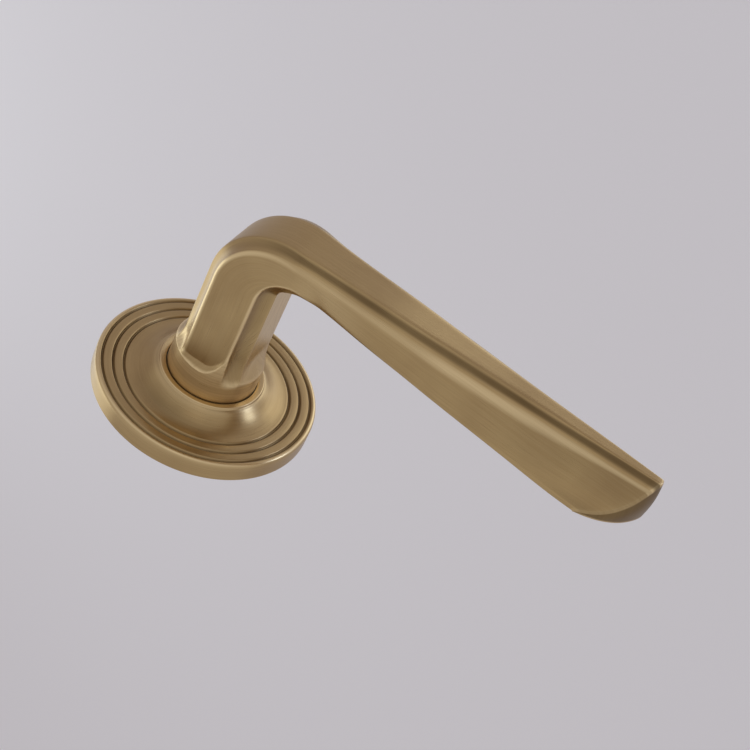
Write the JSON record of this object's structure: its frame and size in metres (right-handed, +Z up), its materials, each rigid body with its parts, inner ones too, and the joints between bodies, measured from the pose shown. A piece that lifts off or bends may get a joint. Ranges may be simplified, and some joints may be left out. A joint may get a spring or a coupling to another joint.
{
  "type": "door lever handle",
  "caption": "Sprung door lever handle on a round reeded rose, with a long tapering grip that widens to a pointed paddle tip.",
  "frame": {"origin": "on the spindle axis in the plane of the door's face, midway between the two bolt studs", "axes": "+Y goes into the door along the spindle, -Y towards the hand; the lever points to -X at rest; +Z is up when fitted"},
  "size_m": [0.135, 0.08, 0.057],
  "materials": {
    "antique_brass": "satin, brushed, lacquered antique brass",
    "steel": "bright zinc plated",
    "plated_steel": "yellow passivated zinc plate",
    "spring_steel": "phosphated",
    "nylon": "natural nylon"
  },
  "bodies": {
    "rose": {"rose_cover": "antique_brass", "rose_guide_ring": "nylon", "cover_snap_ring": "spring_steel", "mounting_plate": "plated_steel", "support_studs": "steel", "stud_nuts": "steel", "stud_lock_washers": "spring_steel", "bearing_bush": "nylon", "return_spring": "spring_steel", "stop_pins": "steel"},
    "lever": {"lever": "antique_brass", "spindle": "steel", "spindle_grub_screw": "steel", "spring_driver": "steel", "wave_washer": "spring_steel", "thrust_washer": "steel", "circlip": "spring_steel"}
  },
  "joints": [
    {"name": "lever_turn", "type": "hinge", "parent": "rose", "child": "lever", "pos_m": [0, 0, 0], "axis": [0, -1, 0], "range_deg": [0, 45], "stiffness_Nm_per_rad": 1.2, "springref_deg": -20.05, "deforming": ["return_spring"]}
  ]
}
